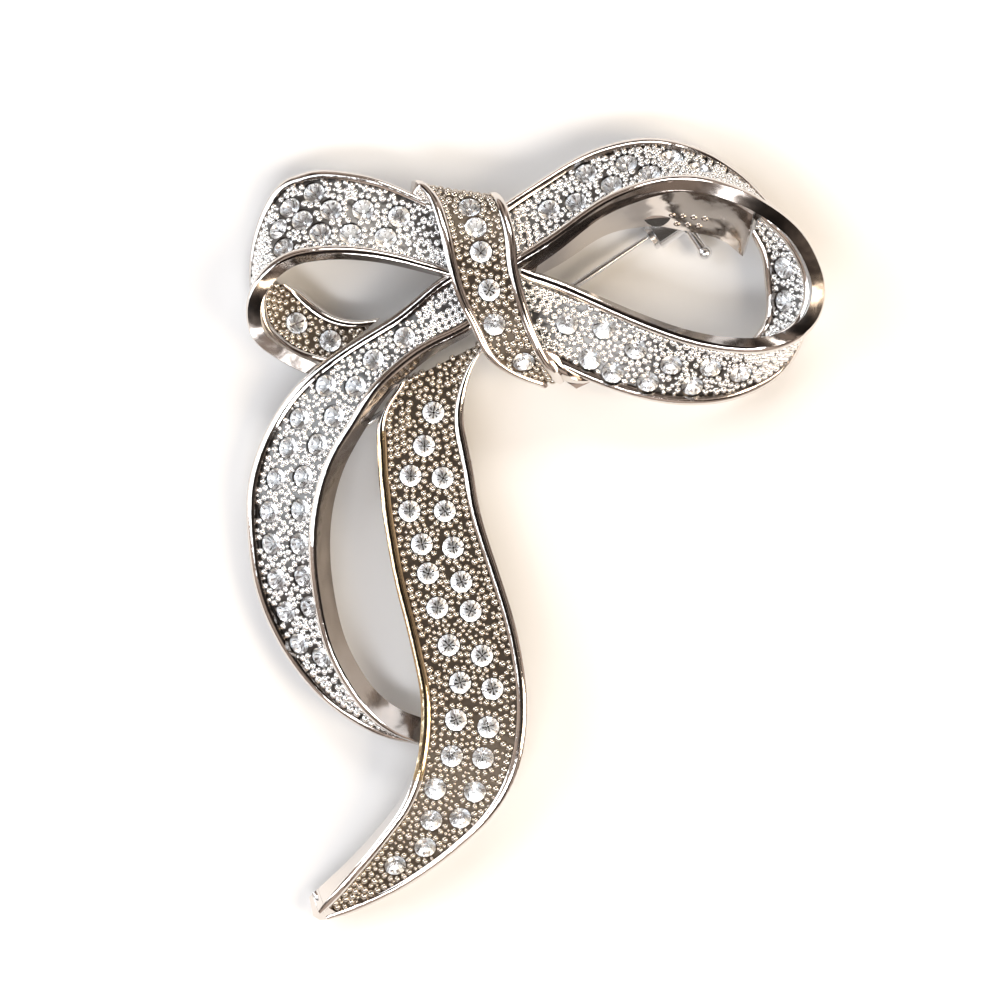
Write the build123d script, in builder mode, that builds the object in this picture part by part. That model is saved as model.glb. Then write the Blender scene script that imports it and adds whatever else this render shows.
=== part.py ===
"""Bow brooch: cast ribbon loops, knot and tails set with round chatons, with a pin stem
and a rotating safety catch on the back.

Frame: millimetres, the brooch lies on its back, face up (+Z), with the tails towards -Y.
"""
import os

from build123d import *

os.makedirs("parts", exist_ok=True)

# Shift that puts the origin under the middle of the finished brooch, at the table
TO_ORIGIN = (-0.024, 0.049, 0.09)

# Ribbon castings
RIM = 0.95  # width of the polished rims
WALL = 0.8  # thickness of the side walls
FLOOR = 0.4  # depth of the decorated floor below the rims
WEB = 0.75  # metal under the floor
RIM_CROWN = 0.2  # height of the rounded top of a rim
DEPTH = 2.3  # side walls of the left tail
TAIL_DEPTH = 2.1  # side walls of the right tail
LOOP_DEPTH = 2.0  # outer side walls of the loops
THIN = 1.25  # depth where two skins share a ridge
KNOT_DEPTH = 1.9
STEPS = 2  # sections lofted per station
CORE_BASE = 4.3
CORE_TOP = 8.9

# Chatons
STONE_R = 1.05
TABLE_R = 0.62
CROWN = 0.38
GIRDLE = 0.08
PAVILION = 0.95
CULET_R = 0.12
RING_GAP = 0.14  # dark gap between a stone and its seat ring
SEAT_FIT = 0.02
SEAT_DROP = 0.18  # how far the seat ledge lies below the floor

# Pin stem, hinge and catch
PIN_Z = 1.8
HINGE_AT = (-18.9, 8.5)
PIN_DIR = (0.833, 0.553, 0)
STEM_R = 0.4
STEM_LENGTH = 40.2
TAPER_FROM = 30.0
TIP_R = 0.12
BARREL_R = 0.85
BARREL_HALF = 0.7
RIVET_R = 0.4
RIVET_FIT = 0.04
CHEEK_IN = 0.75
CHEEK_OUT = 1.25
CHEEK_R = 0.8
CHEEK_BACK = 1.1
CATCH_AT = 37.9  # catch centre, measured along the stem from the hinge
HOUSING_R = 1.75
BORE_R = 1.22
HOUSING_HALF = 1.3
ROTOR_R = 1.18
ROTOR_BORE = 0.65
SLOT = 1.0
MOUTH = 1.5
COLLAR_R = 1.5
COLLAR = 1.0
COLLAR_GAP = 0.05
LEVER_AT = 1.87
LEVER_R = 0.5
LEVER_LENGTH = 4.3
LEVER_BALL_R = 0.7
BRACKET_TOP = 1.7
RIVET_HEAD_R = 0.62
RIVET_HEAD = 0.28
PAD_R = 1.7
PAD_BLANK = 3.2
CATCH_PAD = 1.6
PAD_LONG = 4.4
PAD_WIDE = 3.0
PAD_SHIFT = 2.2

# Smooth inner parts
INNER_SKIN = 0.8
FOLD_THICK = 0.9
DIMPLE_R = 0.38
UPPER_DIMPLES = [(13.3 + 1.05 * i, 30.3 - 0.12 * i) for i in range(4)]
LOWER_DIMPLES = [(13.8 + 1.05 * i, 29.5 - 0.1 * i) for i in range(3)]

# Edge stations of each ribbon, (left edge, right edge) as seen from its face
RIGHT_LOOP = [
    ((-3.9, 30.7, 6.4), (-2.6, 24.7, 7.6)),
    ((1.0, 34.0, 5.6), (2.1, 27.8, 8.2)),
    ((5.5, 36.6, 4.8), (6.7, 31.1, 8.6)),
    ((11.0, 37.9, 3.8), (11.3, 33.0, 8.8)),
    ((16.5, 36.7, 3.0), (16.0, 33.4, 8.8)),
    ((21.5, 33.1, 2.4), (21.3, 31.7, 8.6)),
    ((24.7, 28.3, 2.0), (25.7, 28.3, 8.4)),
    ((26.2, 23.2, 1.8), (27.8, 23.4, 8.2)),
    ((25.9, 18.3, 1.9), (26.7, 19.6, 8.1)),
    ((23.5, 14.6, 2.4), (23.4, 17.7, 8.0)),
    ((18.9, 12.4, 3.2), (19.2, 17.6, 8.0)),
    ((13.3, 12.1, 4.0), (14.2, 18.7, 8.0)),
    ((7.7, 13.4, 4.9), (8.7, 20.9, 7.9)),
    ((2.5, 15.6, 5.7), (3.5, 23.3, 7.7)),
    ((-2.2, 17.9, 6.3), (-1.2, 25.1, 7.5)),
]
RIGHT_LOOP_INNER = [
    ((-0.8, 24.5, 7.0), (-1.0, 23.7, 5.4)),
    ((2.7, 27.0, 7.6), (3.0, 25.9, 5.0)),
    ((6.5, 29.9, 8.0), (6.9, 28.4, 4.6)),
    ((11.1, 31.8, 8.2), (11.3, 29.3, 4.3)),
    ((15.0, 32.4, 8.2), (15.0, 28.8, 4.1)),
    ((18.4, 31.6, 8.0), (18.1, 28.0, 4.0)),
    ((21.0, 30.2, 7.8), (20.2, 26.4, 4.0)),
]
RIGHT_LOOP_PANEL = [
    ((22.0, 30.3, 7.5), (21.0, 28.4, 4.4)),
    ((24.5, 28.0, 7.4), (22.0, 26.2, 3.8)),
    ((26.2, 25.1, 7.3), (22.3, 24.0, 3.4)),
    ((26.5, 22.2, 7.2), (22.5, 21.8, 3.2)),
    ((25.4, 19.8, 7.1), (22.2, 20.1, 3.3)),
    ((22.9, 18.3, 7.0), (21.2, 18.5, 3.8)),
]
LEFT_LOOP = [
    ((-5.5, 23.5, 7.3), (-8.2, 30.7, 6.6)),
    ((-11.1, 25.2, 7.6), (-13.9, 33.4, 5.2)),
    ((-15.4, 26.2, 7.6), (-17.8, 34.5, 4.2)),
    ((-19.7, 26.5, 7.5), (-21.7, 34.7, 3.2)),
    ((-23.6, 25.9, 7.3), (-25.0, 33.2, 2.2)),
    ((-26.3, 24.0, 7.1), (-27.0, 29.1, 1.2)),
    ((-27.5, 21.4, 6.9), (-27.5, 24.3, 0.6)),
    ((-27.0, 18.4, 6.3), (-26.3, 20.1, 0.4)),
    ((-24.9, 16.6, 5.4), (-24.1, 17.6, 0.5)),
    ((-22.2, 15.2, 4.5), (-21.4, 16.2, 0.6)),
    ((-19.4, 14.2, 4.0), (-18.6, 15.6, 0.8)),
]
LEFT_LOOP_INNER = [
    ((-17.8, 15.6, 3.6), (-14.8, 20.5, 2.8)),
    ((-21.0, 16.0, 3.9), (-17.4, 20.3, 2.7)),
    ((-24.0, 17.2, 4.6), (-19.5, 20.8, 2.7)),
    ((-26.1, 19.4, 5.3), (-21.3, 22.0, 2.8)),
    ((-26.5, 21.7, 5.8), (-22.6, 23.1, 3.0)),
    ((-25.9, 23.7, 6.1), (-23.8, 23.7, 3.4)),
]
KNOT = [
    ((-3.6, 32.3, 5.1), (-11.8, 33.6, 4.9)),
    ((-3.2, 32.2, 6.4), (-11.3, 33.4, 6.3)),
    ((-2.6, 31.1, 7.8), (-10.0, 31.7, 7.8)),
    ((-1.9, 28.4, 9.2), (-9.0, 28.4, 9.3)),
    ((-1.6, 25.3, 9.8), (-8.3, 25.3, 9.9)),
    ((-0.9, 22.2, 9.9), (-7.4, 22.2, 9.9)),
    ((0.0, 19.3, 9.4), (-6.1, 19.5, 9.4)),
    ((1.2, 16.6, 8.3), (-4.5, 16.4, 8.4)),
    ((2.3, 15.1, 6.9), (-2.0, 14.7, 6.9)),
    ((2.9, 14.3, 5.2), (0.7, 13.7, 5.2)),
]
LEFT_TAIL = [
    ((-4.1, 20.5, 7.6), (-6.4, 25.7, 7.2)),
    ((-7.0, 18.7, 7.6), (-9.4, 23.9, 6.8)),
    ((-10.7, 16.9, 7.6), (-13.3, 20.8, 6.2)),
    ((-14.5, 13.8, 7.6), (-18.3, 17.7, 5.4)),
    ((-17.1, 10.0, 7.5), (-22.6, 14.3, 4.7)),
    ((-19.3, 6.4, 7.4), (-25.9, 9.7, 3.4)),
    ((-20.5, 2.4, 7.2), (-27.7, 4.4, 2.9)),
    ((-20.9, -1.7, 7.0), (-27.7, -1.4, 2.7)),
    ((-20.5, -6.5, 6.6), (-26.7, -6.8, 2.6)),
    ((-19.3, -11.6, 6.0), (-24.1, -12.2, 2.6)),
    ((-16.8, -16.2, 5.2), (-20.2, -16.8, 2.7)),
    ((-14.2, -19.0, 4.4), (-15.7, -19.7, 2.2)),
    ((-11.0, -20.7, 3.6), (-11.0, -20.9, 1.6)),
]
RIGHT_TAIL = [
    ((-4.1, 18.5, 5.5), (-13.2, 13.9, 5.35)),
    ((-6.0, 15.2, 5.5), (-15.0, 10.6, 5.4)),
    ((-6.8, 11.1, 5.6), (-15.1, 7.9, 5.4)),
    ((-6.0, 6.3, 6.0), (-14.9, 4.3, 5.7)),
    ((-5.0, 1.0, 6.4), (-14.4, 0.3, 6.1)),
    ((-3.3, -4.3, 6.8), (-13.4, -5.1, 6.5)),
    ((-1.6, -10.0, 7.2), (-12.0, -10.6, 7.0)),
    ((-0.7, -16.4, 7.3), (-10.9, -16.4, 7.3)),
    ((-1.3, -22.4, 6.6), (-11.2, -21.9, 7.0)),
    ((-3.6, -27.2, 5.4), (-12.6, -26.3, 6.2)),
    ((-7.6, -31.2, 4.0), (-15.3, -30.2, 5.2)),
    ((-12.6, -34.8, 2.6), (-17.8, -33.2, 4.3)),
    ((-17.4, -37.2, 1.5), (-19.8, -35.6, 3.6)),
    ((-19.9, -37.9, 1.3), (-20.9, -37.0, 3.0)),
]
RIGHT_TAIL_TIP = [
    ((-18.7, -37.6, 1.35), (-20.4, -36.3, 3.3)),
    ((-19.9, -37.9, 1.3), (-20.9, -37.0, 3.0)),
    ((-20.8, -38.0, 1.45), (-21.4, -37.5, 2.5)),
]

FOLD = [
    ((2.0, 17.0, 7.0), (0.8, 17.4, 8.0)),
    ((3.6, 14.6, 5.9), (1.9, 15.2, 6.2)),
    ((5.6, 14.3, 4.8), (4.1, 13.6, 4.6)),
]

# Line along the outer edge of the left tail that the left loop is trimmed to
TRIM_AT = (-19.9, 16.53, -2)
TRIM_DIR = (0.784, 0.62, 0)
TRIM_LENGTH = 14

# Plan outline of the centre block inside the knot
CORE_PLAN = [(-9.3, 30.2), (-3.0, 29.6), (-2.2, 25.3), (-1.6, 22.0), (-0.9, 19.3), (-0.1, 17.6), (-4.6, 17.4),
             (-6.8, 22.2), (-7.7, 25.3), (-8.4, 28.4)]

# Chaton centres in plan, by area
RIGHT_TAIL_SET = [
    (-9.7, 11.3), (-10.6, 8.1), (-11.9, 5.2), (-8.8, 5.0), (-12.0, 1.8), (-8.6, 1.8), (-10.8, -1.4),
    (-7.8, -1.7), (-10.2, -4.2), (-7.0, -5.0), (-9.3, -7.5), (-6.1, -7.8), (-8.2, -11.1), (-5.0, -12.1),
    (-7.1, -14.7), (-4.0, -15.3), (-7.5, -18.3), (-4.4, -19.0), (-7.9, -21.8), (-4.9, -22.0),
    (-9.5, -25.0), (-5.7, -25.3), (-9.9, -28.1), (-7.1, -27.9), (-10.5, -30.8), (-13.4, -32.6),
]
LEFT_TAIL_SET = [
    (-12.5, 18.5), (-15.5, 16.4), (-20.1, 13.9), (-17.2, 13.8), (-19.3, 10.9), (-22.7, 10.7),
    (-23.8, 7.9), (-20.9, 8.2), (-25.0, 4.9), (-22.3, 5.1), (-25.7, 1.7), (-22.6, 1.9), (-25.5, -1.4),
    (-22.7, -1.4), (-25.0, -4.8), (-22.3, -4.5), (-24.1, -8.0), (-21.7, -7.5), (-22.8, -11.1), (-20.6, -12.4),
]
LEFT_LOOP_SET = [
    (-23.7, 31.2), (-19.6, 30.9), (-16.5, 30.9), (-13.0, 30.2), (-24.8, 29.1), (-22.4, 29.9),
    (-20.6, 28.6), (-17.7, 28.5), (-14.3, 28.1), (-24.2, 27.2), (-21.3, 32.6),
]
LEFT_INNER_SET = [(-22.9, 20.0), (-19.7, 18.3)]
KNOT_SET = [(-6.2, 31.0), (-5.6, 29.0), (-5.1, 26.6), (-4.3, 22.9), (-3.8, 19.6), (-1.0, 16.0)]
RIGHT_LOOP_SET = [
    (1.4, 30.8), (4.0, 31.5), (5.0, 34.4), (7.4, 33.2),
    (8.9, 35.4), (11.1, 34.4), (13.4, 36.1), (16.0, 34.9),
    (3.2, 19.8), (6.7, 19.3), (5.4, 16.4), (9.8, 17.3), (7.6, 15.1), (13.2, 15.8), (11.0, 14.2), (17.0, 15.5),
    (15.3, 13.8), (20.0, 14.9),
]
RIGHT_PANEL_SET = [(24.0, 25.2), (24.1, 22.1)]


def blend(a, b, c, d, t):
    """Point at fraction t of the smooth curve from b to c, with a and d on either side."""
    return b + ((c - a) * t + (a * 2 - b * 5 + c * 4 - d) * t**2 + (b * 3 - a - c * 3 + d) * t**3) * 0.5


def edge_point(stations, side, at):
    """Point on one edge of a ribbon; `at` counts stations from the first."""
    last = len(stations) - 1
    i = min(int(at), last - 1)
    points = [Vector(*station[side]) for station in stations]
    first = points[0] * 2 - points[1]
    final = points[last] * 2 - points[last - 1]
    points = [first] + points + [final]
    return blend(points[i], points[i + 1], points[i + 2], points[i + 3], at - i)


def section_frame(stations, at):
    """Plane of one section (x across the ribbon, y out of its face) and the ribbon's width there."""
    left = edge_point(stations, 0, at)
    right = edge_point(stations, 1, at)
    low = max(at - 0.5, 0)
    high = min(at + 0.5, len(stations) - 1)
    along = (
        edge_point(stations, 0, high) + edge_point(stations, 1, high)
        - edge_point(stations, 0, low) - edge_point(stations, 1, low)
    )
    across = (right - left).normalized()
    face = across.cross(along).normalized()
    return Plane(origin=left, x_dir=across, z_dir=across.cross(face)), (right - left).length


def channel_outline(width, left_depth, right_depth):
    """Ribbon section: two crowned rims, a recessed floor between them and a hollow back."""
    rim = min(RIM, width * 0.3)
    wall = min(WALL, width * 0.25)
    under = FLOOR + WEB
    ThreePointArc((0, 0), (rim / 2, RIM_CROWN), (rim, 0))
    Polyline((rim, 0), (rim, -FLOOR), (width - rim, -FLOOR), (width - rim, 0))
    ThreePointArc((width - rim, 0), (width - rim / 2, RIM_CROWN), (width, 0))
    Polyline(
        (width, 0), (width, -right_depth), (width - wall, -right_depth), (width - wall, -under),
        (wall, -under), (wall, -left_depth), (0, -left_depth), (0, 0),
    )


def ribbon(stations, left_depth, right_depth=None):
    """Smooth loft along the stations: a channel, or a plain sheet where only one depth is given."""
    with BuildPart() as body:
        for i in range((len(stations) - 1) * STEPS + 1):
            plane, width = section_frame(stations, i / STEPS)
            with BuildSketch(plane):
                with BuildLine():
                    if right_depth is None:
                        Polyline((0, 0), (width, 0), (width, -left_depth), (0, -left_depth), close=True)
                    else:
                        channel_outline(width, left_depth, right_depth)
                make_face()
        loft()
    return body.part


def seat_planes(casting, centres):
    """Frame of every stone: on the casting's floor under each plan position, z along the face normal."""
    planes = []
    for x, y in centres:
        hits = casting.find_intersection_points(Axis((x, y, 40), (0, 0, -1)))
        point, normal = max(hits, key=lambda hit: hit[0].Z)
        if normal.Z < 0:
            normal = -normal
        planes.append(Plane(origin=point - normal * SEAT_DROP, z_dir=normal))
    return planes


def stone():
    """Round chaton, girdle underside at z = 0."""
    with BuildPart() as body:
        with BuildSketch(Plane.XZ):
            with BuildLine():
                Polyline(
                    (0, -PAVILION), (CULET_R, -PAVILION), (STONE_R, 0), (STONE_R, GIRDLE),
                    (TABLE_R, GIRDLE + CROWN), (0, GIRDLE + CROWN), close=True,
                )
            make_face()
        revolve(axis=Axis.Z)
    return body.part


def seat():
    """Cutter for one seat: open ring pocket, cone under the stone, and a through hole."""
    slope = (STONE_R - CULET_R) / PAVILION
    with BuildPart() as body:
        with BuildSketch(Plane.XZ):
            with BuildLine():
                Polyline(
                    (0, -2.2), (CULET_R + 0.1, -2.2), (CULET_R + 0.1, -PAVILION - SEAT_FIT + 0.1 / slope),
                    (STONE_R, -SEAT_FIT), (STONE_R + RING_GAP, -SEAT_FIT), (STONE_R + RING_GAP, 1.4),
                    (0, 1.4), close=True,
                )
            make_face()
        revolve(axis=Axis.Z)
    return body.part


def largest_left(blank, cuts):
    """Biggest solid left of a blank once its neighbours are taken away."""
    with BuildPart() as body:
        add(blank)
        for other in cuts:
            add(other, mode=Mode.SUBTRACT)
    return body.part.solids().sort_by(SortBy.VOLUME)[-1]


def set_ribbon(blank, centres, cuts=()):
    """Ribbon cut back to its neighbours, with every stone seat cut in it."""
    planes = seat_planes(blank, centres)
    with BuildPart() as casting:
        add(largest_left(blank, cuts))
        with Locations(*[p.location for p in planes]):
            add(SEAT, mode=Mode.SUBTRACT)
    return casting.part, planes


STONE = stone()
SEAT = seat()


def stones_at(planes):
    """One stone on every seat frame."""
    with BuildPart() as body:
        with Locations(*[p.location for p in planes]):
            add(STONE)
    return body.part


# Knot: a band over a solid centre block that every ribbon end is brought up to
knot_blank = ribbon(KNOT, KNOT_DEPTH, KNOT_DEPTH)

with BuildPart() as core_block:
    with BuildSketch(Plane.XY.offset(CORE_BASE)):
        with BuildLine():
            Polyline(*CORE_PLAN, close=True)
        make_face()
    extrude(amount=CORE_TOP - CORE_BASE)

knot_casting, knot_seats = set_ribbon(knot_blank, KNOT_SET)

with BuildPart() as knot_core:
    add(largest_left(core_block.part, (knot_blank,)))
    with Locations(*[p.location for p in knot_seats]):
        add(SEAT, mode=Mode.SUBTRACT)
knot_core.part.label = "knot_core"

with BuildPart() as knot_band:
    add(knot_casting)
knot_band.part.label = "knot_band"

with BuildPart() as knot_stones:
    add(stones_at(knot_seats))
knot_stones.part.label = "knot_stones"

# Left tail
left_tail_blank = ribbon(LEFT_TAIL, DEPTH, DEPTH)
left_tail_casting, left_tail_seats = set_ribbon(
    left_tail_blank, LEFT_TAIL_SET, (core_block.part, knot_blank)
)

with BuildPart() as left_tail:
    add(left_tail_casting)
left_tail.part.label = "left_tail"

with BuildPart() as left_tail_stones:
    add(stones_at(left_tail_seats))
left_tail_stones.part.label = "left_tail_stones"

# Right tail
right_tail_blank = ribbon(RIGHT_TAIL, TAIL_DEPTH, TAIL_DEPTH)
right_tail_casting, right_tail_seats = set_ribbon(
    right_tail_blank, RIGHT_TAIL_SET, (core_block.part, left_tail_blank)
)

with BuildPart() as right_tail:
    add(right_tail_casting)
    add(ribbon(RIGHT_TAIL_TIP, TAIL_DEPTH))
right_tail.part.label = "right_tail"

with BuildPart() as right_tail_stones:
    add(stones_at(right_tail_seats))
right_tail_stones.part.label = "right_tail_stones"

# Left loop, trimmed along the outer edge of the left tail where the tail crosses it
with BuildPart() as tail_side:
    with BuildSketch(Plane(origin=TRIM_AT, x_dir=TRIM_DIR, z_dir=(0, 0, 1))):
        Rectangle(TRIM_LENGTH, 10, align=(Align.CENTER, Align.MAX))
    extrude(amount=12)

left_loop_blank = ribbon(LEFT_LOOP, THIN, LOOP_DEPTH)
left_loop_casting, left_loop_seats = set_ribbon(
    left_loop_blank, LEFT_LOOP_SET, (core_block.part, tail_side.part, knot_blank, left_tail_blank)
)

with BuildPart() as left_loop_outer:
    add(left_loop_casting)
left_loop_outer.part.label = "left_loop_outer"

with BuildPart() as left_loop_stones:
    add(stones_at(left_loop_seats))
left_loop_stones.part.label = "left_loop_stones"

left_inner_blank = ribbon(LEFT_LOOP_INNER, THIN, THIN)
left_inner_casting, left_inner_seats = set_ribbon(
    left_inner_blank, LEFT_INNER_SET, (left_loop_blank, tail_side.part)
)

with BuildPart() as left_loop_inner:
    add(left_inner_casting)
left_loop_inner.part.label = "left_loop_inner"

with BuildPart() as left_inner_stones:
    add(stones_at(left_inner_seats))
left_inner_stones.part.label = "left_inner_stones"

# Right loop
right_loop_blank = ribbon(RIGHT_LOOP, LOOP_DEPTH, THIN)
right_loop_casting, right_loop_seats = set_ribbon(
    right_loop_blank, RIGHT_LOOP_SET, (core_block.part, knot_blank)
)

with BuildPart() as right_loop_outer:
    add(right_loop_casting)
right_loop_outer.part.label = "right_loop_outer"

with BuildPart() as right_loop_stones:
    add(stones_at(right_loop_seats))
right_loop_stones.part.label = "right_loop_stones"

right_panel_blank = ribbon(RIGHT_LOOP_PANEL, THIN, THIN)
right_panel_casting, right_panel_seats = set_ribbon(
    right_panel_blank, RIGHT_PANEL_SET, (right_loop_blank,)
)

with BuildPart() as right_loop_panel:
    add(right_panel_casting)
right_loop_panel.part.label = "right_loop_panel"

with BuildPart() as right_panel_stones:
    add(stones_at(right_panel_seats))
right_panel_stones.part.label = "right_panel_stones"

# Smooth inner skin of the right loop, with rows of dimples
inner_blank = ribbon(RIGHT_LOOP_INNER, INNER_SKIN)

with BuildPart() as right_loop_inner:
    add(largest_left(inner_blank, (right_loop_blank, right_panel_blank, knot_blank, core_block.part)))
    with Locations(*[p.location for p in seat_planes(inner_blank, UPPER_DIMPLES + LOWER_DIMPLES)]):
        Sphere(DIMPLE_R, mode=Mode.SUBTRACT)
right_loop_inner.part.label = "right_loop_inner"

# Smooth fold of ribbon caught below the knot
fold_blank = ribbon(FOLD, FOLD_THICK)

with BuildPart() as knot_fold:
    add(largest_left(fold_blank, (right_loop_blank, knot_blank, core_block.part)))
knot_fold.part.label = "knot_fold"

# Findings, all built on the line of the pin stem
stem_line = Plane(origin=(HINGE_AT[0], HINGE_AT[1], PIN_Z), x_dir=PIN_DIR, z_dir=(0, 0, 1))
hinge_face = Plane(stem_line.origin, x_dir=PIN_DIR, z_dir=-stem_line.y_dir)
stem_end = Plane(stem_line.origin, x_dir=stem_line.y_dir, z_dir=stem_line.x_dir)
catch_end = stem_end.offset(CATCH_AT)

with BuildPart() as pin_stem:
    with BuildSketch(stem_line):
        with BuildLine():
            Polyline(
                (0.3, 0), (STEM_LENGTH, 0), (STEM_LENGTH, TIP_R), (TAPER_FROM, STEM_R), (0.3, STEM_R),
                close=True,
            )
        make_face()
    revolve(axis=Axis(stem_line.origin, stem_line.x_dir))
    with BuildSketch(hinge_face):
        Circle(BARREL_R)
    extrude(amount=BARREL_HALF, both=True)
    with BuildSketch(hinge_face):
        Circle(RIVET_R + RIVET_FIT)
    extrude(amount=BARREL_HALF + 1, both=True, mode=Mode.SUBTRACT)
pin_stem.part.label = "pin_stem"

with BuildPart() as hinge_bracket:
    with BuildSketch(hinge_face):
        with Locations(((CHEEK_R - CHEEK_BACK) / 2, BRACKET_TOP / 2)):
            Rectangle(CHEEK_R + CHEEK_BACK, BRACKET_TOP)
        Circle(CHEEK_R)
    extrude(amount=CHEEK_OUT, both=True)
    with BuildSketch(hinge_face):
        with Locations((0.4, 0)):
            Rectangle(3.4, 2 * BARREL_R + 0.3)
    extrude(amount=CHEEK_IN, both=True, mode=Mode.SUBTRACT)
    with BuildSketch(hinge_face):
        Circle(RIVET_R)
    extrude(amount=CHEEK_OUT + 1, both=True, mode=Mode.SUBTRACT)
hinge_bracket.part.label = "hinge_bracket"

with BuildPart() as hinge_rivet:
    with BuildSketch(hinge_face):
        Circle(RIVET_R)
    extrude(amount=CHEEK_OUT, both=True)
    with BuildSketch(hinge_face.offset(CHEEK_OUT)):
        Circle(RIVET_HEAD_R)
    extrude(amount=RIVET_HEAD)
    with BuildSketch(hinge_face.offset(-CHEEK_OUT)):
        Circle(RIVET_HEAD_R)
    extrude(amount=-RIVET_HEAD)
hinge_rivet.part.label = "hinge_rivet"

with BuildPart() as hinge_pad_blank:
    with BuildSketch(stem_line.offset(BRACKET_TOP)):
        with Locations((-0.4, 0.3)):
            Circle(PAD_R)
    extrude(amount=PAD_BLANK)

with BuildPart() as hinge_pad:
    add(largest_left(hinge_pad_blank.part, (left_tail_blank,)))
    with Locations(*[p.location for p in left_tail_seats]):
        add(SEAT, mode=Mode.SUBTRACT)
hinge_pad.part.label = "hinge_pad"

# Safety catch: a C-shaped housing open towards the wearer, and a slotted sleeve that turns in it
with BuildPart() as catch_housing:
    with BuildSketch(catch_end):
        Circle(HOUSING_R)
        with Locations((0, HOUSING_R / 2 + 0.1)):
            Rectangle(2.2, HOUSING_R + 0.2)
        Circle(BORE_R, mode=Mode.SUBTRACT)
        with Locations((0, -HOUSING_R / 2)):
            Rectangle(MOUTH, HOUSING_R, mode=Mode.SUBTRACT)
    extrude(amount=HOUSING_HALF, both=True)
catch_housing.part.label = "catch_housing"

with BuildPart() as catch_rotor:
    with BuildSketch(catch_end):
        Circle(ROTOR_R)
    extrude(amount=HOUSING_HALF + COLLAR_GAP, both=True)
    with BuildSketch(catch_end.offset(HOUSING_HALF + COLLAR_GAP)):
        Circle(COLLAR_R)
    extrude(amount=COLLAR)
    with BuildSketch(catch_end.offset(-HOUSING_HALF - COLLAR_GAP)):
        Circle(COLLAR_R)
    extrude(amount=-COLLAR / 2)
    with BuildSketch(Plane(catch_end.offset(LEVER_AT).origin, x_dir=PIN_DIR, z_dir=-stem_line.y_dir)):
        Circle(LEVER_R)
    extrude(amount=LEVER_LENGTH)
    with Locations(catch_end.offset(LEVER_AT).origin - stem_line.y_dir * LEVER_LENGTH):
        Sphere(LEVER_BALL_R)
    with BuildSketch(catch_end.offset(-3)):
        Circle(ROTOR_BORE)
        with Locations((0, -HOUSING_R / 2)):
            Rectangle(SLOT, HOUSING_R, mode=Mode.ADD)
    extrude(amount=6, mode=Mode.SUBTRACT)
catch_rotor.part.label = "catch_rotor"

with BuildPart() as catch_pad_blank:
    with BuildSketch(stem_line.offset(HOUSING_R + 0.2)):
        with Locations((CATCH_AT, PAD_SHIFT)):
            SlotOverall(PAD_LONG, PAD_WIDE, rotation=90)
    extrude(amount=CATCH_PAD)

with BuildPart() as catch_pad:
    add(largest_left(catch_pad_blank.part, (right_loop_blank, inner_blank)))
catch_pad.part.label = "catch_pad"

for node in [
    knot_core, knot_band, knot_stones, left_tail, left_tail_stones, right_tail, right_tail_stones,
    left_loop_outer, left_loop_stones, left_loop_inner, left_inner_stones, right_loop_outer,
    right_loop_stones, right_loop_panel, right_panel_stones, right_loop_inner, knot_fold, pin_stem,
    hinge_bracket, hinge_rivet, hinge_pad, catch_housing, catch_rotor, catch_pad,
]:
    placed = node.part.moved(Location(TO_ORIGIN))
    placed.label = node.part.label
    export_step(placed, f"parts/{placed.label}.step")
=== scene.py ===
"""Looks of the bow brooch: granulated ribbons, faceted foil-backed chatons, plated metal and studio light.

Everything is in metres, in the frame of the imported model.
"""
import math
import random

import bmesh
import bpy
import numpy as np
from mathutils import Matrix, Vector
from mathutils.bvhtree import BVHTree
from mathutils.kdtree import KDTree


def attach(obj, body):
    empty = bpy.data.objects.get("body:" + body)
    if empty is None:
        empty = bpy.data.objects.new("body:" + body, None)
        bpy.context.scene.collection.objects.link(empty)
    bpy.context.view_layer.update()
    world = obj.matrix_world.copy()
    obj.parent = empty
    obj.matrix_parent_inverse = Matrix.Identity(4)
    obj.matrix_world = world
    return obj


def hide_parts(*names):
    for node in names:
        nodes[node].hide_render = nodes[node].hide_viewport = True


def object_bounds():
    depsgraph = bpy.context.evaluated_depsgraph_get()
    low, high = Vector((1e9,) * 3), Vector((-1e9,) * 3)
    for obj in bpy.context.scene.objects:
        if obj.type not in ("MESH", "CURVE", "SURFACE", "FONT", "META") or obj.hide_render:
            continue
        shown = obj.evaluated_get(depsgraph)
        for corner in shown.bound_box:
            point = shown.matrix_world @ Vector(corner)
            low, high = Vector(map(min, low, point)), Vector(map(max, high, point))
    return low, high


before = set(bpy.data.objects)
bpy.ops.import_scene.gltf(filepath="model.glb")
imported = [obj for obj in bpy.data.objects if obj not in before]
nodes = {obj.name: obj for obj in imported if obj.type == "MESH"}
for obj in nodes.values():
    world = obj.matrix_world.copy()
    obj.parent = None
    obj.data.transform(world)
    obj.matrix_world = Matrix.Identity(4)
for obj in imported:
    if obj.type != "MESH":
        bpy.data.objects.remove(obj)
cad_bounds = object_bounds()
random.seed(7)

MM = 0.001
ORIGIN = Vector((-0.024, 0.049, 0.09)) * MM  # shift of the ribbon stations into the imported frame

RIM = 0.95 * MM  # width of the polished rims
FLOOR = 0.4 * MM  # depth of the granulated floor below the rims

STONE_R = 1.05 * MM
TABLE_R = 0.62 * MM
CROWN = 0.38 * MM
GIRDLE = 0.08 * MM
PAVILION = 0.95 * MM
SEAT_R = 1.19 * MM  # outer radius of the seat round a stone, which granules keep clear of
SEAT_DROP = 0.18 * MM  # depth of a girdle's underside below the floor

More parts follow.
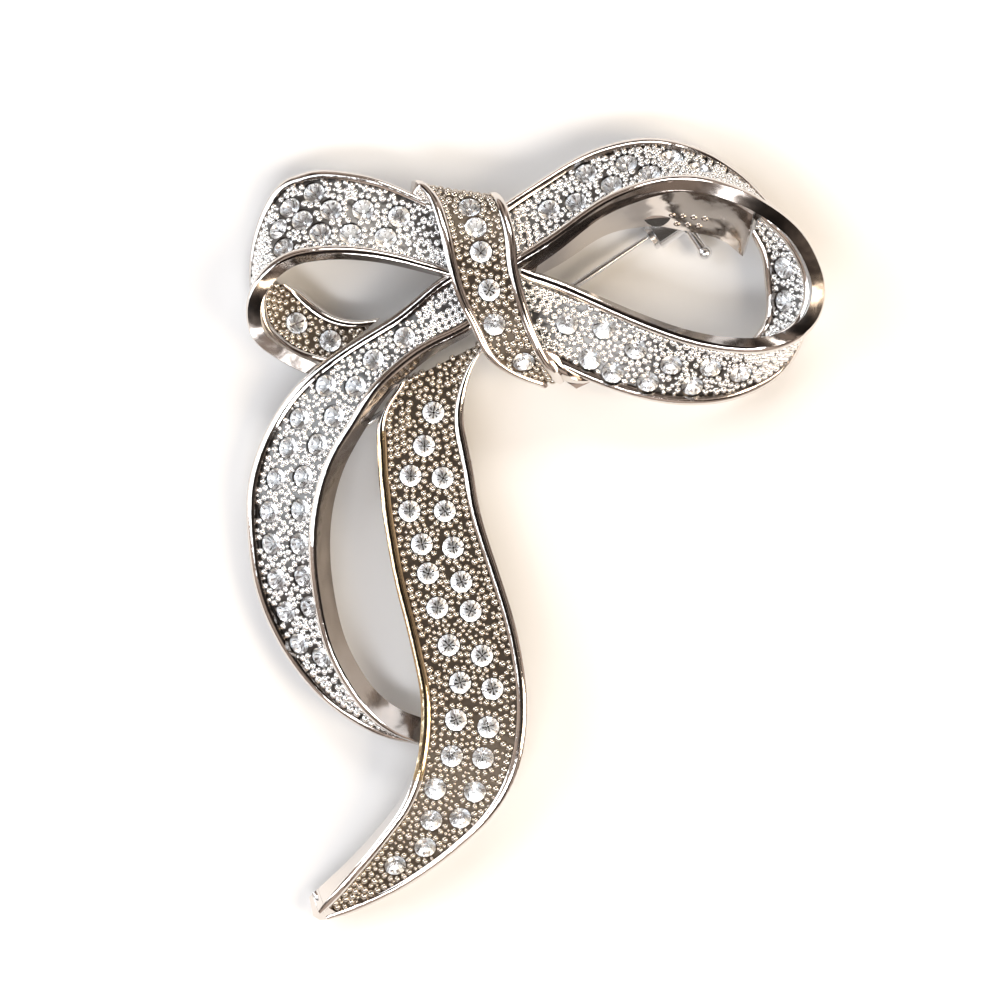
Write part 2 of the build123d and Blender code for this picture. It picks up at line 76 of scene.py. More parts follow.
# Edge stations of the granulated ribbons in millimetres: (left edge, right edge), for someone walking along
# the face
RIBBONS = {
    "right_loop_outer": [
        ((-3.9, 30.7, 6.4), (-2.6, 24.7, 7.6)),
        ((1.0, 34.0, 5.6), (2.1, 27.8, 8.2)),
        ((5.5, 36.6, 4.8), (6.7, 31.1, 8.6)),
        ((11.0, 37.9, 3.8), (11.3, 33.0, 8.8)),
        ((16.5, 36.7, 3.0), (16.0, 33.4, 8.8)),
        ((21.5, 33.1, 2.4), (21.3, 31.7, 8.6)),
        ((24.7, 28.3, 2.0), (25.7, 28.3, 8.4)),
        ((26.2, 23.2, 1.8), (27.8, 23.4, 8.2)),
        ((25.9, 18.3, 1.9), (26.7, 19.6, 8.1)),
        ((23.5, 14.6, 2.4), (23.4, 17.7, 8.0)),
        ((18.9, 12.4, 3.2), (19.2, 17.6, 8.0)),
        ((13.3, 12.1, 4.0), (14.2, 18.7, 8.0)),
        ((7.7, 13.4, 4.9), (8.7, 20.9, 7.9)),
        ((2.5, 15.6, 5.7), (3.5, 23.3, 7.7)),
        ((-2.2, 17.9, 6.3), (-1.2, 25.1, 7.5)),
    ],
    "right_loop_panel": [
        ((22.0, 30.3, 7.5), (21.0, 28.4, 4.4)),
        ((24.5, 28.0, 7.4), (22.0, 26.2, 3.8)),
        ((26.2, 25.1, 7.3), (22.3, 24.0, 3.4)),
        ((26.5, 22.2, 7.2), (22.5, 21.8, 3.2)),
        ((25.4, 19.8, 7.1), (22.2, 20.1, 3.3)),
        ((22.9, 18.3, 7.0), (21.2, 18.5, 3.8)),
    ],
    "left_loop_outer": [
        ((-5.5, 23.5, 7.3), (-8.2, 30.7, 6.6)),
        ((-11.1, 25.2, 7.6), (-13.9, 33.4, 5.2)),
        ((-15.4, 26.2, 7.6), (-17.8, 34.5, 4.2)),
        ((-19.7, 26.5, 7.5), (-21.7, 34.7, 3.2)),
        ((-23.6, 25.9, 7.3), (-25.0, 33.2, 2.2)),
        ((-26.3, 24.0, 7.1), (-27.0, 29.1, 1.2)),
        ((-27.5, 21.4, 6.9), (-27.5, 24.3, 0.6)),
        ((-27.0, 18.4, 6.3), (-26.3, 20.1, 0.4)),
        ((-24.9, 16.6, 5.4), (-24.1, 17.6, 0.5)),
        ((-22.2, 15.2, 4.5), (-21.4, 16.2, 0.6)),
        ((-19.4, 14.2, 4.0), (-18.6, 15.6, 0.8)),
    ],
    "left_loop_inner": [
        ((-17.8, 15.6, 3.6), (-14.8, 20.5, 2.8)),
        ((-21.0, 16.0, 3.9), (-17.4, 20.3, 2.7)),
        ((-24.0, 17.2, 4.6), (-19.5, 20.8, 2.7)),
        ((-26.1, 19.4, 5.3), (-21.3, 22.0, 2.8)),
        ((-26.5, 21.7, 5.8), (-22.6, 23.1, 3.0)),
        ((-25.9, 23.7, 6.1), (-23.8, 23.7, 3.4)),
    ],
    "knot_band": [
        ((-3.6, 32.3, 5.1), (-11.8, 33.6, 4.9)),
        ((-3.2, 32.2, 6.4), (-11.3, 33.4, 6.3)),
        ((-2.6, 31.1, 7.8), (-10.0, 31.7, 7.8)),
        ((-1.9, 28.4, 9.2), (-9.0, 28.4, 9.3)),
        ((-1.6, 25.3, 9.8), (-8.3, 25.3, 9.9)),
        ((-0.9, 22.2, 9.9), (-7.4, 22.2, 9.9)),
        ((0.0, 19.3, 9.4), (-6.1, 19.5, 9.4)),
        ((1.2, 16.6, 8.3), (-4.5, 16.4, 8.4)),
        ((2.3, 15.1, 6.9), (-2.0, 14.7, 6.9)),
        ((2.9, 14.3, 5.2), (0.7, 13.7, 5.2)),
    ],
    "left_tail": [
        ((-4.1, 20.5, 7.6), (-6.4, 25.7, 7.2)),
        ((-7.0, 18.7, 7.6), (-9.4, 23.9, 6.8)),
        ((-10.7, 16.9, 7.6), (-13.3, 20.8, 6.2)),
        ((-14.5, 13.8, 7.6), (-18.3, 17.7, 5.4)),
        ((-17.1, 10.0, 7.5), (-22.6, 14.3, 4.7)),
        ((-19.3, 6.4, 7.4), (-25.9, 9.7, 3.4)),
        ((-20.5, 2.4, 7.2), (-27.7, 4.4, 2.9)),
        ((-20.9, -1.7, 7.0), (-27.7, -1.4, 2.7)),
        ((-20.5, -6.5, 6.6), (-26.7, -6.8, 2.6)),
        ((-19.3, -11.6, 6.0), (-24.1, -12.2, 2.6)),
        ((-16.8, -16.2, 5.2), (-20.2, -16.8, 2.7)),
        ((-14.2, -19.0, 4.4), (-15.7, -19.7, 2.2)),
        ((-11.0, -20.7, 3.6), (-11.0, -20.9, 1.6)),
    ],
    "right_tail": [
        ((-4.1, 18.5, 5.5), (-13.2, 13.9, 5.35)),
        ((-6.0, 15.2, 5.5), (-15.0, 10.6, 5.4)),
        ((-6.8, 11.1, 5.6), (-15.1, 7.9, 5.4)),
        ((-6.0, 6.3, 6.0), (-14.9, 4.3, 5.7)),
        ((-5.0, 1.0, 6.4), (-14.4, 0.3, 6.1)),
        ((-3.3, -4.3, 6.8), (-13.4, -5.1, 6.5)),
        ((-1.6, -10.0, 7.2), (-12.0, -10.6, 7.0)),
        ((-0.7, -16.4, 7.3), (-10.9, -16.4, 7.3)),
        ((-1.3, -22.4, 6.6), (-11.2, -21.9, 7.0)),
        ((-3.6, -27.2, 5.4), (-12.6, -26.3, 6.2)),
        ((-7.6, -31.2, 4.0), (-15.3, -30.2, 5.2)),
        ((-12.6, -34.8, 2.6), (-17.8, -33.2, 4.3)),
        ((-17.4, -37.2, 1.5), (-19.8, -35.6, 3.6)),
        ((-19.9, -37.9, 1.3), (-20.9, -37.0, 3.0)),
    ],
}
STONE_NODES = {
    "right_loop_outer": "right_loop_stones",
    "right_loop_panel": "right_panel_stones",
    "left_loop_outer": "left_loop_stones",
    "left_loop_inner": "left_inner_stones",
    "knot_band": "knot_stones",
    "left_tail": "left_tail_stones",
    "right_tail": "right_tail_stones",
}
SHADE_PAINTED_RIBBONS = ("right_tail", "knot_band", "left_loop_inner")  # ribbons with painted shade: darker, warmer granules and a darker floor
UNSHADED_WALL_RIBBONS = ("right_tail", "knot_band")  # ribbons whose side walls get no painted shade and stay as bright as their rims
# ribbon with a painted warm reflection on part of one rim
REFLECTION_RIBBON = "right_tail"
REFLECTION_FROM, REFLECTION_TO = 1.5, 8.5  # stations between which the rim of its right edge has a painted warm, brassy reflection
FINDINGS = (
    "hinge_pad",
    "hinge_bracket",
    "hinge_rivet",
    "pin_stem",
    "catch_pad",
    "catch_housing",
    "catch_rotor",
)


# ---------------------------------------------------------------- ribbons
REACH = 0.5  # stations each way that give the direction along a ribbon
WALK_STEPS = 400


def blend(a, b, c, d, t):
    """Point at fraction t of the smooth curve from b to c, with a and d on either side."""
    return b + ((c - a) * t + (a * 2 - b * 5 + c * 4 - d) * t**2 + (b * 3 - a - c * 3 + d) * t**3) * 0.5


class Ribbon:
    """One ribbon's face, worked out from its edge stations."""

    def __init__(self, stations):
        self.edges = []
        for side in (0, 1):
            points = [Vector(station[side]) * MM + ORIGIN for station in stations]
            points = [points[0] * 2 - points[1]] + points + [points[-1] * 2 - points[-2]]
            self.edges.append(points)
        self.last = len(stations) - 1

    def edge(self, side, at):
        """Point of one edge (0 left, 1 right) at a fractional station."""
        i = min(int(at), self.last - 1)
        p = self.edges[side]
        return blend(p[i], p[i + 1], p[i + 2], p[i + 3], at - i)

    def frame(self, at):
        """Left edge, unit vector across, face normal and width."""
        left = self.edge(0, at)
        right = self.edge(1, at)
        low, high = max(at - REACH, 0), min(at + REACH, self.last)
        along = self.edge(0, high) + self.edge(1, high) - self.edge(0, low) - self.edge(1, low)
        across = (right - left).normalized()
        return left, across, across.cross(along).normalized(), (right - left).length

    def walk(self, inset, pitch):
        """(station, fraction across) every pitch along a line inset from the left edge (< 0: the right)."""
        found = []
        travelled = pitch
        before = None
        for i in range(WALK_STEPS + 1):
            at = self.last * i / WALK_STEPS
            left, across, _, width = self.frame(at)
            offset = inset if inset > 0 else width + inset
            point = left + across * offset
            if before is not None:
                travelled += (point - before).length
            before = point
            if travelled >= pitch:
                found.append((at, offset / width))
                travelled -= pitch
        return found


# ---------------------------------------------------------------- stones of the CAD
WELD_GRID = 1e6  # vertices that agree to a micrometre are one
NORMAL_GRID = 50  # facets whose normals agree to a fiftieth are one flat


def loose_parts(mesh):
    """Lists of a mesh's polygons, one for each separate solid in it."""
    parent = list(range(len(mesh.vertices)))
    first_at = {}

    def root(i):
        while parent[i] != i:
            parent[i] = parent[parent[i]]
            i = parent[i]
        return i

    for v in mesh.vertices:
        key = tuple(round(c * WELD_GRID) for c in v.co)
        if key in first_at:
            parent[root(v.index)] = root(first_at[key])
        else:
            first_at[key] = v.index
    for polygon in mesh.polygons:
        first = polygon.vertices[0]
        for other in polygon.vertices[1:]:
            parent[root(other)] = root(first)
    parts = {}
    for polygon in mesh.polygons:
        parts.setdefault(root(polygon.vertices[0]), []).append(polygon)
    return parts.values()


def stone_frames(node):
    """(table centre, axis) of every stone in a CAD stone node; the table is a stone's largest flat."""
    frames = []
    for polygons in loose_parts(nodes[node].data):
        flats = {}
        for polygon in polygons:
            key = tuple(round(c * NORMAL_GRID) for c in polygon.normal)
            flats.setdefault(key, []).append(polygon)
        table = max(flats.values(), key=lambda flat: sum(p.area for p in flat))
        area = sum(p.area for p in table)
        centre = sum((p.center * p.area for p in table), Vector()) / area
        axis = sum((p.normal * p.area for p in table), Vector()).normalized()
        frames.append((centre, axis))
    return frames


# ---------------------------------------------------------------- materials
WAVE_DEPTH = 0.15 * MM


def material(name):
    """New node material and its principled shader."""
    made = bpy.data.materials.new(name)
    made.use_nodes = True
    return made, made.node_tree.nodes["Principled BSDF"]


def metal(name, colour, roughness, wave=None):
    """Plated metal; wave is the (strength, scale) of the slight waviness that casting leaves."""
    made, shader = material(name)
    shader.inputs["Base Color"].default_value = (*colour, 1)
    shader.inputs["Metallic"].default_value = 1.0
    shader.inputs["Roughness"].default_value = roughness
    if wave:
        strength, scale = wave
        tree = made.node_tree
        place = tree.nodes.new("ShaderNodeTexCoord")
        noise = tree.nodes.new("ShaderNodeTexNoise")
        noise.inputs["Scale"].default_value = scale
        noise.inputs["Detail"].default_value = 2.0
        bump = tree.nodes.new("ShaderNodeBump")
        bump.inputs["Strength"].default_value = strength
        bump.inputs["Distance"].default_value = WAVE_DEPTH
        tree.links.new(place.outputs["Object"], noise.inputs["Vector"])
        tree.links.new(noise.outputs["Fac"], bump.inputs["Height"])
        tree.links.new(bump.outputs["Normal"], shader.inputs["Normal"])
    return made


def clear_glass(name):
    """Faintly cool lead glass."""
    made, shader = material(name)
    shader.inputs["Base Color"].default_value = (0.98, 0.99, 1.0, 1)
    shader.inputs["Roughness"].default_value = 0.0
    shader.inputs["IOR"].default_value = 1.56
    shader.inputs["Transmission Weight"].default_value = 1.0
    return made


POLISHED_WAVE = (0.35, 420.0)
FLOOR_WAVE = (0.5, 1600.0)

plated = metal("plated_metal", (0.75, 0.71, 0.68), 0.09, POLISHED_WAVE)
granule_metal = metal("granule_metal", (0.92, 0.92, 0.92), 0.18)
# darker, warmer copy of the granule metal: painted shade for the shaded ribbons
granule_painted_shade = metal("granule_painted_shade", (0.58, 0.53, 0.47), 0.12)
# the dark recessed floors are painted shade, deeper on the shaded ribbons and lighter on the others
floor_deep_shade = metal("floor_painted_deep_shade", (0.10, 0.08, 0.062), 0.42, FLOOR_WAVE)
floor_light_shade = metal("floor_light_shade", (0.13, 0.125, 0.12), 0.30, FLOOR_WAVE)
# painted warm, golden reflection on a stretch of one rim
rim_warm_reflection = metal("rim_warm_reflection", (0.78, 0.64, 0.42), 0.12, POLISHED_WAVE)
# side walls darkened with painted shade
wall_painted_shade = metal("wall_painted_shade", (0.34, 0.305, 0.28), 0.16, (0.5, 420.0))
back_metal = metal("back_metal", (0.66, 0.65, 0.64), 0.34, (0.6, 900.0))
finding_metal = metal("finding_metal", (0.86, 0.86, 0.87), 0.22)
foil = metal("stone_foil", (0.97, 0.97, 0.98), 0.10)
soft_foil = metal("stone_soft_foil", (1.0, 1.0, 1.0), 0.30)
glass = clear_glass("stone_glass")


# ---------------------------------------------------------------- meshes
class Builder:
    """Collects copies of small template meshes into one object."""

    def __init__(self):
        self.points = []
        self.faces = []
        self.slots = []
        self.count = 0

    def add(self, points, faces, matrix, slots=None):
        moved = points @ np.array(matrix.to_3x3()).T + np.array(matrix.translation)
        self.points.append(moved)
        self.faces.extend(tuple(i + self.count for i in face) for face in faces)
        self.slots.extend(slots or [0] * len(faces))
        self.count += len(points)

    def make(self, name, materials, smooth=True):
        mesh = bpy.data.meshes.new(name)
        mesh.from_pydata(np.vstack(self.points).tolist(), [], self.faces)
        for item in materials:
            mesh.materials.append(item)
        mesh.polygons.foreach_set("material_index", self.slots)
        mesh.polygons.foreach_set("use_smooth", [smooth] * len(mesh.polygons))
        mesh.update()
        made = bpy.data.objects.new(name, mesh)
        bpy.context.scene.collection.objects.link(made)
        return made


DOME_AROUND = 12
DOME_RINGS = 4
DOME_ANGLE = math.radians(96)  # from the top to the foot, a little past a hemisphere
DOME_SINK = 0.14  # part of its radius that a granule's centre lies below the floor


def dome_template():
    """Dome of unit radius, which a granule is a copy of."""
    points = [(0, 0, 1 - DOME_SINK)]
    for ring in range(1, DOME_RINGS + 1):
        angle = DOME_ANGLE * ring / DOME_RINGS
        radius, z = math.sin(angle), math.cos(angle) - DOME_SINK
        for i in range(DOME_AROUND):
            turn = math.tau * i / DOME_AROUND
            points.append((radius * math.cos(turn), radius * math.sin(turn), z))
    faces = [(0, 1 + i, 1 + (i + 1) % DOME_AROUND) for i in range(DOME_AROUND)]
    for ring in range(DOME_RINGS - 1):
        base = 1 + ring * DOME_AROUND
        for i in range(DOME_AROUND):
            j = (i + 1) % DOME_AROUND
            faces.append((base + i, base + DOME_AROUND + i, base + DOME_AROUND + j, base + j))
    return np.array(points), faces


def hull(points):
    """Vertices, flat faces and face centres of a convex hull."""
    mesh = bmesh.new()
    for point in points:
        mesh.verts.new(point)
    bmesh.ops.convex_hull(mesh, input=list(mesh.verts))
    limit = math.radians(1)
    bmesh.ops.dissolve_limit(mesh, angle_limit=limit, verts=list(mesh.verts), edges=list(mesh.edges))
    bmesh.ops.recalc_face_normals(mesh, faces=list(mesh.faces))
    mesh.verts.ensure_lookup_table()
    mesh.verts.index_update()
    verts = np.array([v.co[:] for v in mesh.verts])
    faces = [tuple(v.index for v in face.verts) for face in mesh.faces]
    centres = [face.calc_center_median() for face in mesh.faces]
    mesh.free()
    return verts, faces, centres


FACETS = 8  # facets round the table
HALF_FACET = math.pi / FACETS
GLASS_TO = -0.01 * MM  # facets whose centre is lower have foil behind them


def chaton_template():
    """Faceted round stone with its girdle's underside at z = 0; slots are glass, sharp foil and soft foil."""
    points = []
    for radius, z, count, turn in (
        (TABLE_R, GIRDLE + CROWN, FACETS, 0.0),
        (STONE_R * 0.82, GIRDLE + CROWN * 0.5, FACETS, HALF_FACET),
        (STONE_R, GIRDLE, FACETS * 2, 0.0),
        (STONE_R, 0.0, FACETS * 2, 0.0),
        (STONE_R * 0.58, -PAVILION * 0.47, FACETS, HALF_FACET),
        (STONE_R * 0.10, -PAVILION, FACETS, 0.0),
    ):
        for i in range(count):
            angle = math.tau * i / count + turn
            points.append((radius * math.cos(angle), radius * math.sin(angle), z))
    verts, faces, centres = hull(points)
    slots = []
    for centre in centres:
        sector = int((math.atan2(centre.y, centre.x) + math.tau) / HALF_FACET)
        slots.append(0 if centre.z > GLASS_TO else 1 + sector % 2)
    return verts, faces, slots


DOME = dome_template()
CHATON = chaton_template()


def stand(origin, normal, scale=1.0, turn=0.0):
    """Matrix that stands a template on a surface."""
    upright = normal.to_track_quat("Z", "Y").to_matrix().to_4x4()
    spin = Matrix.Rotation(turn, 4, "Z")
    return Matrix.Translation(origin) @ upright @ spin @ Matrix.Scale(scale, 4)


# ---------------------------------------------------------------- granulation
CELL = 1.0 * MM  # grid that finds the neighbours of a granule
NEIGHBOURS = [(i, j, k) for i in (-1, 0, 1) for j in (-1, 0, 1) for k in (-1, 0, 1)]

DROP_FROM = 0.8  # millimetres above the floor that a granule is dropped from
DROP_REACH = 1.6 * MM
DROP_FACING = 0.75  # least cosine between the floor and the direction of the drop
DROP_SLACK = 0.16 * MM  # furthest that it may land from the floor's own level
FOOT = 0.7  # part of its radius that a granule keeps clear of a seat

BEADS_ROUND = 13  # granules in the ring round each stone
BEAD_GAP = 0.27 * MM  # from the seat to the centres of that ring
BEAD_RADII = (0.31, 0.36)  # millimetres, as are the radii below
BEAD_SPREAD = 0.8  # least distance between two granules, over the sum of their radii

ROW_INSET = 0.36 * MM  # from the rim to the first row
ROW_PITCH = 0.72 * MM
ROW_GAP = 0.68 * MM
ROWS_TO = 4.0 * MM
ROW_RADII = (0.37, 0.44)
ROW_WANDER = 0.006  # stations
ROW_SPREAD = 0.8
ROW_FROM, ROW_TO = 0.05, 0.95  # fractions of the width

FILLS = ((0.36, 24.0), (0.30, 40.0), (0.24, 60.0), (0.18, 70.0))  # (radius, tries per millimetre of edge)
FILL_SPREAD = 0.88
FILL_FROM, FILL_TO = 0.08, 0.92  # fractions of the width
EDGE_STEPS = 4  # straight steps between stations that measure an edge


class Granulation:
    """Granules (point, normal, radius) on a ribbon's floor, clear of its stones and of each other."""

    def __init__(self, ribbon, stones, tree):
        self.ribbon = ribbon
        self.stones = stones
        self.centres = np.array([centre[:] for centre, _ in stones])
        self.tree = tree
        self.cells = {}
        self.placed = []

    def cell_of(self, point):
        return tuple(int(c // CELL) for c in point)

    def crowded(self, point, radius, spread):
        """Whether a granule would come too near to one that is there already."""
        x, y, z = self.cell_of(point)
        for i, j, k in NEIGHBOURS:
            for other, size in self.cells.get((x + i, y + j, z + k), ()):
                if (other - point).length < (size + radius) * spread:
                    return True
        return False

    def drop(self, level, normal, start, radius, spread):
        """Drops a granule along -normal from above start, kept if it lands on the floor that level is on."""
        hit, face, _, _ = self.tree.ray_cast(start + normal * DROP_FROM * MM, -normal, DROP_REACH)
        if hit is None or face.dot(normal) < DROP_FACING or abs((hit - level).dot(normal)) > DROP_SLACK:
            return
        near = np.linalg.norm(self.centres - np.array(hit[:]), axis=1).min()
        if near < SEAT_R + radius * FOOT or self.crowded(hit, radius, spread):
            return
        self.cells.setdefault(self.cell_of(hit), []).append((hit, radius))
        self.placed.append((hit, face, radius))

    def drop_at(self, at, v, radius, spread):
        """Drops a granule at a station and a fraction of the width."""
        left, across, normal, width = self.ribbon.frame(at)
        level = left + across * (width * v) - normal * FLOOR
        self.drop(level, normal, level, radius, spread)

    def ring_stones(self):
        """A ring of granules round each stone."""
        for centre, axis in self.stones:
            side = axis.orthogonal().normalized()
            other_side = axis.cross(side)
            first = random.uniform(0, math.tau)
            for i in range(BEADS_ROUND):
                turn = first + math.tau * i / BEADS_ROUND
                outward = side * math.cos(turn) + other_side * math.sin(turn)
                start = centre + outward * (SEAT_R + BEAD_GAP)
                self.drop(centre, axis, start, random.uniform(*BEAD_RADII) * MM, BEAD_SPREAD)

    def line_edges(self):
        """Rows of granules along both rims, further and further in."""
        inset = RIM + ROW_INSET
        while inset < ROWS_TO:
            for offset in (inset, -inset):
                for at, v in self.ribbon.walk(offset, ROW_PITCH):
                    if ROW_FROM < v < ROW_TO:
                        wander = random.uniform(-ROW_WANDER, ROW_WANDER)
                        self.drop_at(at + wander, v, random.uniform(*ROW_RADII) * MM, ROW_SPREAD)
            inset += ROW_GAP

    def fill_gaps(self):
        """Smaller and smaller granules at random places that are still free."""
        ribbon = self.ribbon
        points = [ribbon.edge(0, i / EDGE_STEPS) for i in range(ribbon.last * EDGE_STEPS + 1)]
        length = sum((a - b).length for a, b in zip(points, points[1:]))
        for radius, density in FILLS:
            for _ in range(int(length / MM * density)):
                at = random.uniform(0, ribbon.last)
                v = random.uniform(FILL_FROM, FILL_TO)
                self.drop_at(at, v, radius * MM, FILL_SPREAD)


# ---------------------------------------------------------------- finishes and painted shade of the ribbons
PLATED_SLOT, FLOOR_SLOT, BACK_SLOT, WALL_SLOT, REFLECTION_SLOT = range(5)  # in paint_ribbon's order
GRID = 12  # samples from station to station, and from edge to edge
RIM_SAMPLES = 2  # samples across that lie on the right-hand rim

# Heights over the face, and cosines between its normal and a polygon's, that tell the finishes and painted
# shades apart
FLOOR_FACING = 0.6
FLOOR_TOP, FLOOR_BOTTOM = -0.22 * MM, -1.3 * MM
BACK_FACING = -0.7
BACK_TOP = -0.8 * MM
WALL_TOP = -0.03 * MM


def face_samples(ribbon, reflection_rim):
    """(point, normal, whether it takes the painted rim reflection) all over a ribbon's face, and a tree that
    finds the nearest.
    """
    samples = []
    for i in range(ribbon.last * GRID + 1):
        at = i / GRID
        left, across, normal, width = ribbon.frame(at)
        for k in range(GRID + 1):
            reflected = reflection_rim and k > GRID - RIM_SAMPLES and REFLECTION_FROM < at < REFLECTION_TO
            samples.append((left + across * (width * k / GRID), normal, reflected))
    tree = KDTree(len(samples))
    for i, sample in enumerate(samples):
        tree.insert(sample[0], i)
    tree.balance()
    return samples, tree


def finish_or_shade_of(depth, facing, reflected):
    """Slot of a CAD polygon, from its height over the face and the cosine between their normals; the floor
    slot holds painted shade, as the wall slot does on most ribbons, and flagged rim polygons take a painted
    warm reflection.
    """
    if facing > FLOOR_FACING and FLOOR_BOTTOM < depth < FLOOR_TOP:
        return FLOOR_SLOT
    if facing < BACK_FACING and depth < BACK_TOP:
        return BACK_SLOT
    if depth < WALL_TOP:
        return WALL_SLOT
    # the flagged stretch of rim gets the painted warm reflection
    return REFLECTION_SLOT if reflected else PLATED_SLOT


def paint_ribbon(node, ribbon):
    """Gives the rims, recessed floor, side walls and back of a ribbon their own materials: painted shade on
    the floor and, on most ribbons, on the side walls, and on one ribbon a painted warm reflection on part of
    a rim.
    """
    mesh = nodes[node].data
    mesh.materials.clear()
    # painted shade: the floor is dark, deeper on the shaded ribbons, and most side walls are darkened
    floor_shade = floor_deep_shade if node in SHADE_PAINTED_RIBBONS else floor_light_shade
    wall_item = plated if node in UNSHADED_WALL_RIBBONS else wall_painted_shade
    for item in (plated, floor_shade, back_metal, wall_item, rim_warm_reflection):
        mesh.materials.append(item)
    samples, tree = face_samples(ribbon, node == REFLECTION_RIBBON)
    slots = []
    for polygon in mesh.polygons:
        _, nearest, _ = tree.find(polygon.center)
        point, normal, reflected = samples[nearest]
        slots.append(finish_or_shade_of((polygon.center - point).dot(normal), polygon.normal.dot(normal), reflected))
    mesh.polygons.foreach_set("material_index", slots)
    mesh.update()


def granulate(node, ribbon, stones):
    """Granules of one ribbon."""
    mesh = nodes[node].data
    tree = BVHTree.FromPolygons([v.co for v in mesh.vertices], [p.vertices[:] for p in mesh.polygons])
    to_floor = CROWN + GIRDLE - SEAT_DROP
    granulation = Granulation(ribbon, [(centre - axis * to_floor, axis) for centre, axis in stones], tree)
    granulation.ring_stones()
    granulation.line_edges()
    granulation.fill_gaps()
    granules = Builder()
    for point, normal, radius in granulation.placed:
        granules.add(*DOME, stand(point, normal, radius))
    # the shaded ribbons get darker, warmer granules as painted shade
    made = granules.make(f"granules_{node}", [granule_painted_shade if node in SHADE_PAINTED_RIBBONS else granule_metal])
    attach(made, "brooch")


def set_stones(node, stones):
    """Faceted stones of one ribbon."""
    gems = Builder()
    verts, faces, slots = CHATON
    for centre, axis in stones:
        girdle = centre - axis * (CROWN + GIRDLE)
        gems.add(verts, faces, stand(girdle, axis, 1.0, random.uniform(0, math.tau)), slots)
    made = gems.make(f"chatons_{node}", [glass, foil, soft_foil], smooth=False)
    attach(made, "brooch")
    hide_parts(STONE_NODES[node])


def repaint(node, finish):
    """One finish all over a CAD node."""
    mesh = nodes[node].data
    mesh.materials.clear()
    mesh.materials.append(finish)


for node, stations in RIBBONS.items():
    ribbon = Ribbon(stations)
    stones = stone_frames(STONE_NODES[node])
    paint_ribbon(node, ribbon)
    granulate(node, ribbon, stones)
    set_stones(node, stones)
for node in ("right_loop_inner", "knot_fold"):
    repaint(node, plated)
repaint("knot_core", back_metal)
for node in FINDINGS:
    repaint(node, finding_metal)


# ---------------------------------------------------------------- lights
LIGHTS = (  # name, place, size, energy and colour of area lights that point at the origin
    ("key_left", (-0.40, 0.10, 0.25), (0.30, 0.50), 1.6, (0.84, 0.92, 1.0)),
    ("fill_right", (0.35, -0.12, 0.32), (0.24, 0.34), 2.0, (1.0, 0.85, 0.66)),
    ("top_back", (0.05, 0.40, 0.34), (0.34, 0.12), 1.0, (1.0, 0.98, 0.95)),
    ("front", (-0.06, -0.26, 0.42), (0.30, 0.10), 1.0, (0.95, 0.97, 1.0)),
)


def area_light(name, place, size, energy, colour):
    lamp = bpy.data.lights.new(name, "AREA")
    lamp.shape = "RECTANGLE"
    lamp.size, lamp.size_y = size
    lamp.energy = energy
    lamp.color = colour
    made = bpy.data.objects.new(name, lamp)
    made.location = place
    made.rotation_euler = (-Vector(place)).to_track_quat("-Z", "Y").to_euler()
    bpy.context.scene.collection.objects.link(made)


for light in LIGHTS:
    area_light(*light)


# ---------------------------------------------------------------- room
ROOM_DARK = (0.035, 0.022, 0.018, 1)
ROOM_LIGHT = (0.56, 0.45, 0.38, 1)
PATCHES_FROM, PATCHES_TO = 0.42, 0.58  # noise values between which a dark patch turns light
ZENITH_FROM, ZENITH_TO = 0.86, 0.975  # sines of elevation between which the room darkens
ZENITH_SHADE = 0.12
MIX_A, MIX_B, MIX_RESULT = 6, 7, 2  # the Mix node's colour sockets, which share their names with others


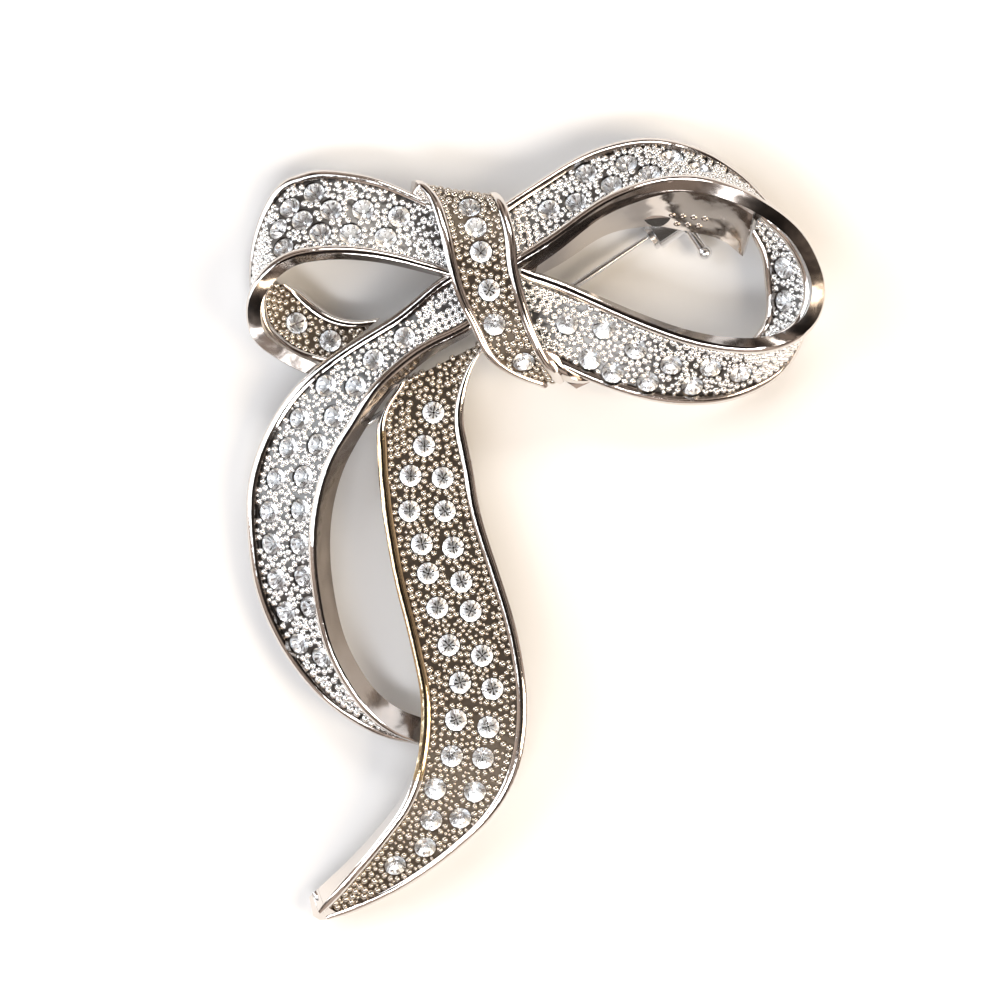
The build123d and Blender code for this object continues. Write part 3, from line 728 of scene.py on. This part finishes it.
def room():
    """World of a dim warm room: dark overhead, lighter towards its walls, broken into patches."""
    made = bpy.data.worlds.new("studio")
    made.use_nodes = True
    tree = made.node_tree
    direction = tree.nodes.new("ShaderNodeTexCoord")
    noise = tree.nodes.new("ShaderNodeTexNoise")
    noise.inputs["Scale"].default_value = 2.6
    noise.inputs["Detail"].default_value = 3.0
    patches = tree.nodes.new("ShaderNodeValToRGB")
    dark, light = patches.color_ramp.elements
    dark.position, light.position = PATCHES_FROM, PATCHES_TO
    dark.color, light.color = ROOM_DARK, ROOM_LIGHT
    split = tree.nodes.new("ShaderNodeSeparateXYZ")
    height = tree.nodes.new("ShaderNodeMapRange")
    height.inputs["From Min"].default_value = ZENITH_FROM
    height.inputs["From Max"].default_value = ZENITH_TO
    height.inputs["To Min"].default_value = 1.0
    height.inputs["To Max"].default_value = ZENITH_SHADE
    shade = tree.nodes.new("ShaderNodeMix")
    shade.data_type = "RGBA"
    shade.blend_type = "MULTIPLY"
    shade.inputs["Factor"].default_value = 1.0
    tree.links.new(direction.outputs["Generated"], noise.inputs["Vector"])
    tree.links.new(noise.outputs["Fac"], patches.inputs["Fac"])
    tree.links.new(direction.outputs["Generated"], split.inputs["Vector"])
    tree.links.new(split.outputs["Z"], height.inputs["Value"])
    tree.links.new(patches.outputs["Color"], shade.inputs[MIX_A])
    tree.links.new(height.outputs["Result"], shade.inputs[MIX_B])
    tree.links.new(shade.outputs[MIX_RESULT], tree.nodes["Background"].inputs["Color"])
    tree.nodes["Background"].inputs["Strength"].default_value = 1.0
    return made


bpy.context.scene.world = room()


# ---------------------------------------------------------------- paper and camera
PAPER_HALF = 1.2
VIEW_CENTRE = Vector((-3.3, 2.9, 5.0)) * MM
VIEW_WIDTH = 96.5 * MM
DISTANCE = 0.45


def paper_sheet():
    """White paper that the brooch lies on."""
    corners = [(x * PAPER_HALF, y * PAPER_HALF, 0) for x, y in ((-1, -1), (1, -1), (1, 1), (-1, 1))]
    mesh = bpy.data.meshes.new("paper")
    mesh.from_pydata(corners, [], [(0, 1, 2, 3)])
    paper, shader = material("paper")
    shader.inputs["Base Color"].default_value = (0.86, 0.855, 0.85, 1)
    shader.inputs["Roughness"].default_value = 0.7
    mesh.materials.append(paper)
    made = bpy.data.objects.new("paper", mesh)
    made.location = (0, 0, cad_bounds[0][2])
    bpy.context.scene.collection.objects.link(made)
    return made


def overhead_camera():
    """Camera straight above VIEW_CENTRE that takes in VIEW_WIDTH at its level."""
    camera = bpy.data.cameras.new("camera")
    camera.angle = 2 * math.atan(VIEW_WIDTH / 2 / DISTANCE)
    camera.clip_start = 0.01
    made = bpy.data.objects.new("camera", camera)
    made.location = VIEW_CENTRE + Vector((0, 0, DISTANCE))
    bpy.context.scene.collection.objects.link(made)
    return made


paper_sheet()
bpy.context.scene.camera = overhead_camera()
bpy.context.scene.view_settings.view_transform = "Standard"
